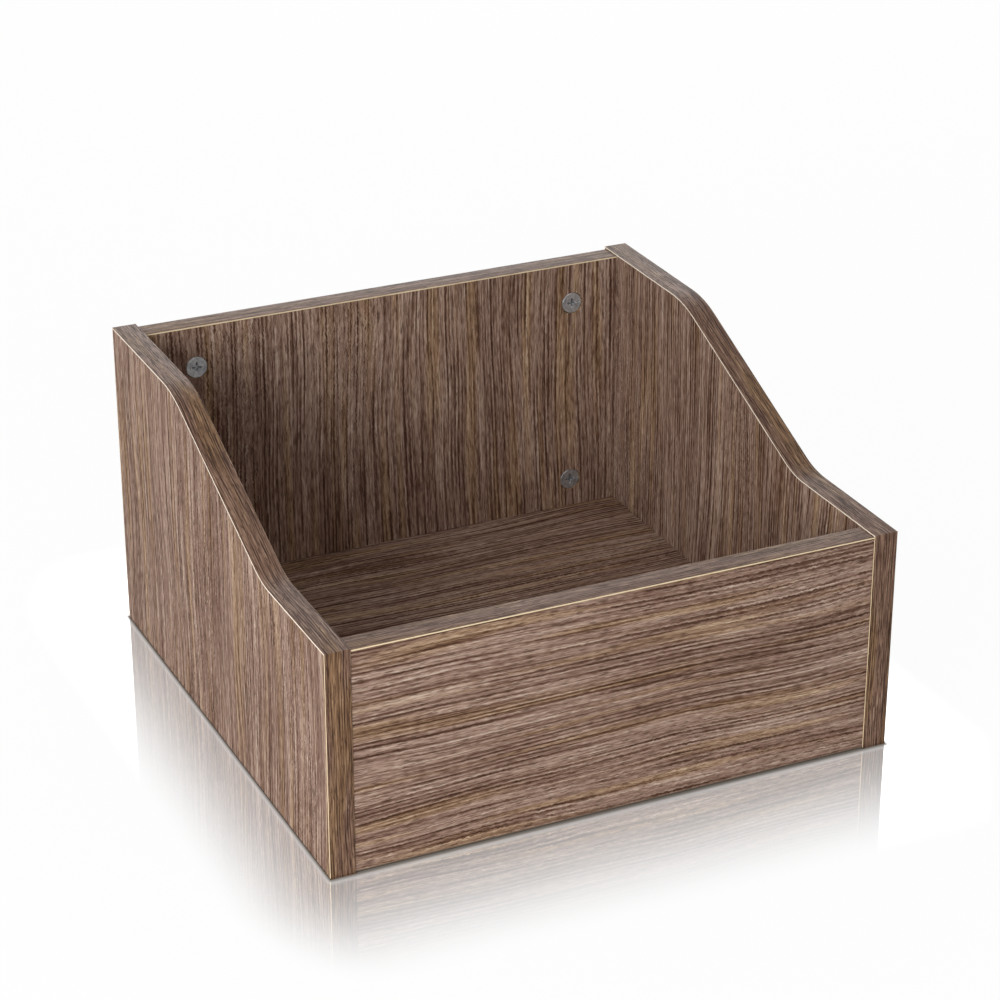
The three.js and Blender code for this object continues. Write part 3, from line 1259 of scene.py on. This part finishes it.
@dataclass
class CamLocks:
    """The zinc discs that hold the boards together, all cast in one shape.

    The casting's own frame has its visible face at z = 0, and its arrow and the pocket for
    the bolt's head point towards -X.

    Attributes:
        chamfer: The chamfer round both rims, in mm.
        bar: The length, width and depth of each bar of the cross recess.
        taper: How much smaller the recess is at its bottom, as a share.
        socket: The radius and depth of the recess's round middle.
        arrow: The arrow's length and width.
        arrow_depth: How deep it is cut into the face.
        pocket: The radius of the pocket for the bolt's head.
        proud: How far a cutter stands proud of the face that it cuts, in mm.
        crease: The angle between two faces, in degrees, above which their edge is sharp.
        steps: How many steps the rim has.
        finish: The metal's finish.
    """

    chamfer: float = 0.5
    bar: tuple[float, float, float] = (7.0, 1.4, 2.5)
    taper: float = 0.6
    socket: tuple[float, float] = (1.7, 2.2)
    arrow: tuple[float, float] = (2.2, 2.6)
    arrow_depth: float = 0.35
    pocket: float = 3.6
    proud: float = 1.0
    crease: float = 30.0
    steps: int = 64
    finish: DieCastZinc = DieCastZinc()

    def disc(self, radius: float, height: float) -> bpy.types.Mesh:
        """Makes the plain disc with its chamfered rims.

        Args:
            radius: The disc's radius in mm.
            height: Its height.

        Returns:
            The disc's mesh.
        """
        build = bmesh.new()
        outline = (
            (radius - self.chamfer, 0.0),
            (radius, -self.chamfer),
            (radius, self.chamfer - height),
            (radius - self.chamfer, -height),
        )
        rows = []
        for reach, level in outline:
            corners = circle(reach, self.steps)
            rows.append([build.verts.new(Vector((x, y, level)) * MM) for x, y in corners])
        skin(build, rows)
        return finished_mesh("cam_lock_disc", build)

    def cutters(self, radius: float, bolt_level: float) -> list[bpy.types.Mesh]:
        """Makes what is cut out of the disc.

        Args:
            radius: The disc's radius in mm.
            bolt_level: The level of the bolt's axis, under the disc's face.

        Returns:
            The cutters of the recess, the arrow and the pocket.
        """
        length, width, depth = self.bar
        socket_radius, socket_depth = self.socket
        cuts = []
        for half_x, half_y in ((length / 2, width / 2), (width / 2, length / 2)):
            corners = [(-half_x, -half_y), (half_x, -half_y), (half_x, half_y), (-half_x, half_y)]
            cuts.append((corners, depth, self.taper))
        cuts.append((circle(socket_radius, self.steps), socket_depth, self.taper))
        # The arrow stops as far from the chamfer as the chamfer is wide.
        tip = self.chamfer - radius + self.chamfer
        arrow_length, arrow_width = self.arrow
        back = tip + arrow_length
        arrow = [(tip, 0.0), (back, -arrow_width / 2), (back, arrow_width / 2)]
        cuts.append((arrow, self.arrow_depth, 1.0))
        meshes = [self.prism(*cut) for cut in cuts]

        build = bmesh.new()
        place = Matrix.Translation(Vector((-radius, 0.0, bolt_level)) * MM)
        place @= Matrix.Rotation(math.pi / 2, 4, "Y")
        bmesh.ops.create_cone(
            build,
            cap_ends=True,
            segments=self.steps // 2,
            radius1=self.pocket * MM,
            radius2=self.pocket * MM,
            depth=2 * (radius - socket_radius) * MM,
            matrix=place,
        )
        return [*meshes, finished_mesh("cam_lock_pocket", build)]

    def prism(
        self, corners: Sequence[tuple[float, float]], depth: float, taper: float
    ) -> bpy.types.Mesh:
        """Makes a cutter that goes down into the face.

        Args:
            corners: Its corners at the face, in mm.
            depth: How deep it goes.
            taper: How much smaller it is at its bottom, as a share.

        Returns:
            The cutter, which also stands proud of the face.
        """
        build = bmesh.new()
        spread = 1 + (1 - taper) * self.proud / depth
        levels = ((self.proud, spread), (-depth, taper))
        centre = Vector([sum(corner[i] for corner in corners) / len(corners) for i in range(2)])
        rows = []
        for level, share in levels:
            points = [centre + (Vector(corner) - centre) * share for corner in corners]
            rows.append([build.verts.new(Vector((p.x, p.y, level)) * MM) for p in points])
        skin(build, rows)
        return finished_mesh("cam_lock_cutter", build)

    def casting(self, radius: float, height: float, bolt_level: float) -> bpy.types.Mesh:
        """Makes the casting with everything cut out of it.

        Args:
            radius: The disc's radius in mm.
            height: Its height.
            bolt_level: The level of the bolt's axis, under the disc's face.

        Returns:
            The casting's mesh.
        """
        disc = add_object("cam_lock_disc", self.disc(radius, height))
        cutters = []
        for mesh in self.cutters(radius, bolt_level):
            cutter = add_object(mesh.name, mesh)
            cut = disc.modifiers.new(mesh.name, "BOOLEAN")
            cut.operation = "DIFFERENCE"
            cut.solver = "EXACT"
            cut.object = cutter
            cutters.append(cutter)
        graph = bpy.context.evaluated_depsgraph_get()
        casting = bpy.data.meshes.new_from_object(disc.evaluated_get(graph))
        for helper in (disc, *cutters):
            bpy.data.objects.remove(helper)
        casting.name = "cam_lock_casting"
        casting.set_sharp_from_angle(angle=math.radians(self.crease))
        return casting

    def build(self) -> list[bpy.types.Object]:
        """Puts a casting in place of every cam lock.

        Returns:
            The cam locks.
        """
        faces = {"front": Axis.Y.unit, "back": -Axis.Y.unit, "base": -Axis.Z.unit}
        nodes = sorted(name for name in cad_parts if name.startswith("cam_lock"))
        casting = None
        pieces = []
        for node in nodes:
            low, high = box_mm(node)
            face = faces[node.split("_")[2]]
            centre = (low + high) / 2
            height = abs((high - low).dot(face))
            if casting is None:
                board_low, board_high = box_mm("back_board")
                bolt_level = high.y - (board_low.y + board_high.y) / 2 - height
                casting = self.casting((high.x - low.x) / 2, height, bolt_level)
                casting.materials.append(self.finish.material("die_cast_zinc"))
            inward = Vector((-math.copysign(1.0, centre.x), 0.0, 0.0))
            turn = Matrix((inward, face.cross(inward), face)).transposed().to_4x4()
            place = Matrix.Translation((centre + face * height / 2) * MM) @ turn
            name = node.replace("cam_lock", "zinc_cam")
            pieces.append(stand_piece(name, casting, node, place))
        return pieces


# ---- studio ----------------------------------------------------------------


@dataclass(frozen=True)
class WhiteLacquer(Finish):
    """The table: lacquered board, sprayed white and polished to a gloss.

    It is white to the eye and takes a faint shadow. Its gloss is strong next to the stand
    and soon fades, and a narrow shadow line lies along the stand's foot.

    Attributes:
        half: Half the stand's width and depth, in metres.
        white: The lacquer's colour.
        glow: How much of the table is plain white to the camera, as a share.
        gloss: How glossy it is right next to the stand, as a share.
        polish: The gloss's roughness.
        reach: How far from the stand's sides, and from its front and back, it is still
            glossy, in mm.
        shade: How far from the front the stand's own shadow shows in full, in mm.
        line: The width of the shadow line, in mm.
        line_tint: The shadow line's colour.
    """

    half: tuple[float, float]
    white: str = "fdfdfd"
    glow: float = 0.95
    gloss: float = 0.68
    polish: float = 0.03
    reach: tuple[float, float] = (68.0, 112.0)
    shade: float = 7.0
    line: float = 7.0
    line_tint: str = "968f87"

    def surface(self, tree: Tree) -> Socket:
        """Adds the lacquer's shader.

        Args:
            tree: The tree that takes the nodes.

        Returns:
            The shader's output.
        """
        place = add_node(tree, "TexCoord", {}, output="Object")
        place = add_node(tree, "VectorMath", {0: place}, operation="ABSOLUTE")
        inputs = {0: place, 1: (*self.half, 0.0)}
        past = add_node(tree, "VectorMath", inputs, operation="SUBTRACT")
        past = add_node(tree, "VectorMath", {0: past, 1: (0.0, 0.0, 0.0)}, operation="MAXIMUM")
        inputs = {0: past, 1: [PER_METRE / reach for reach in (*self.reach, max(self.reach))]}
        past = add_node(tree, "VectorMath", inputs, operation="MULTIPLY")
        past = add_node(tree, "VectorMath", {0: past}, operation="LENGTH")
        inputs = {0: past, 2: self.line / max(self.reach)}
        clear = add_node(tree, "MapRange", inputs, interpolation_type="SMOOTHSTEP")
        inputs = {0: past, 3: self.gloss, 4: 0.0}
        shine = add_node(tree, "MapRange", inputs, interpolation_type="SMOOTHSTEP")
        shine = add_node(tree, "Math", {0: shine, 1: clear}, operation="MULTIPLY")
        # Right under the stand and next to it, the table shows only its own shadow.
        inputs = {0: past, 2: self.shade / max(self.reach), 4: self.glow}
        share = add_node(tree, "MapRange", inputs, interpolation_type="SMOOTHSTEP")
        seen = add_node(tree, "LightPath", {}, output="Is Camera Ray")
        share = add_node(tree, "Math", {0: share, 1: seen}, operation="MULTIPLY")
        inputs = {0: clear, 6: linear(self.line_tint), 7: linear(self.white)}
        paint = add_node(tree, "Mix", inputs, data_type="RGBA")
        lacquer = add_node(tree, "BsdfDiffuse", {"Color": paint})
        glow = add_node(tree, "Emission", {"Color": linear("ffffff"), "Strength": 1.0})
        table = add_node(tree, "MixShader", {0: share, 1: lacquer, 2: glow})
        inputs = {"Color": linear(self.white), "Roughness": self.polish}
        gloss = add_node(tree, "BsdfGlossy", inputs)
        return add_node(tree, "MixShader", {0: shine, 1: table, 2: gloss})


@dataclass(frozen=True)
class Softbox:
    """A square lamp that faces the stand: its place in metres, its side and its power."""

    name: str
    place: tuple[float, float, float]
    size: float
    watts: float

    def build(self) -> bpy.types.Object:
        """Hangs the lamp.

        Returns:
            The lamp.
        """
        data = bpy.data.lights.new(self.name, "AREA")
        data.shape = "SQUARE"
        data.size = self.size
        data.energy = self.watts
        lamp = add_object(self.name, data)
        lamp.location = self.place
        lamp.rotation_euler = (-Vector(self.place)).to_track_quat("-Z", "Y").to_euler()
        return lamp


@dataclass(frozen=True)
class Studio:
    """A white table in a white room, and the camera at the stand's front left.

    Attributes:
        azimuth: The camera's place round the stand, in degrees from the front.
        elevation: Its height above the horizon, in degrees.
        distance: From the camera to its aim, in mm.
        aim: The point that it looks at, in mm.
        lens: Its focal length, in mm.
        sensor: Its sensor's width, in mm.
        near: How close to it things start to show, in mm.
        fill: The strength of the room's light.
        lamps: The lamps.
        table: Half the table's width, in metres.
    """

    azimuth: float = -24.98
    elevation: float = 25.21
    distance: float = 1891.5
    aim: tuple[float, float, float] = (8.6, 5.6, 124.4)
    lens: float = 106.45
    sensor: float = 36.0
    near: float = 10.0
    fill: float = 0.46
    lamps: tuple[Softbox, ...] = (
        Softbox("key_softbox", (-1.35, -1.0, 0.7), 0.9, 19.0),
        Softbox("back_softbox", (1.0, 2.2, 1.3), 1.6, 16.0),
    )
    table: float = 20.0

    def camera(self) -> None:
        """Places the camera where the photograph was taken from."""
        data = bpy.data.cameras.new("camera")
        data.sensor_width = self.sensor
        data.lens = self.lens
        data.clip_start = self.near * MM
        camera = add_object("camera", data)
        turn, lift = math.radians(self.azimuth), math.radians(self.elevation)
        level = math.cos(lift)
        back = Vector((math.sin(turn) * level, -math.cos(turn) * level, math.sin(lift)))
        camera.location = (Vector(self.aim) + back * self.distance) * MM
        camera.rotation_euler = (-back).to_track_quat("-Z", "Y").to_euler()
        bpy.context.scene.camera = camera

    def room(self) -> None:
        """Makes the room: plain white to the eye and in gloss, and dimmer as light."""
        room = bpy.data.worlds.new("white_room")
        room.use_nodes = True
        tree = room.node_tree
        tree.nodes.clear()
        seen: Input = 0.0
        for ray in ("Camera", "Glossy", "Transmission"):
            path = add_node(tree, "LightPath", {}, output=f"Is {ray} Ray")
            seen = add_node(tree, "Math", {0: path, 1: seen}, operation="MAXIMUM")
        strength = add_node(tree, "MapRange", {0: seen, 3: self.fill, 4: 1.0})
        inputs = {"Color": linear("ffffff"), "Strength": strength}
        light = add_node(tree, "Background", inputs)
        add_node(tree, "OutputWorld", {"Surface": light})
        bpy.context.scene.world = room

    def build(self) -> list[bpy.types.Object]:
        """Makes the room, the table and the lamps.

        Returns:
            The table and the lamps.
        """
        self.room()
        build = bmesh.new()
        bmesh.ops.create_grid(build, x_segments=1, y_segments=1, size=self.table)
        table = add_object("table", finished_mesh("table", build))
        half = CAD_BOUNDS[1]
        table.data.materials.append(WhiteLacquer(half=(half.x, half.y)).material("white_lacquer"))
        bpy.context.scene.view_settings.view_transform = "Standard"
        return [table, *(lamp.build() for lamp in self.lamps)]


# ---- the stand -------------------------------------------------------------


def main() -> None:
    """Builds the studio and dresses the stand, piece by piece."""
    logging.basicConfig(level=logging.INFO, format="%(name)s: %(message)s")
    studio = Studio()
    studio.camera()
    assemblies = (
        studio,
        SideBoard(side="left", offset=(0.0, 700.0, 0.0)),
        SideBoard(side="right", offset=(40.0, 530.0, 210.0)),
        CrossBoard(place="front", grain=Axis.X, offset=(0.0, 0.0, 1100.0)),
        CrossBoard(place="back", grain=Axis.Z, offset=(310.0, 0.0, 120.0)),
        BaseBoard(offset=(0.0, 90.0, 0.0)),
        CamLocks(),
        PlainFittings(),
    )
    for assembly in assemblies:
        for piece in assembly.build():
            log.info("%s: %s", type(assembly).__name__, piece.name)


if __name__ == "__main__":
    main()
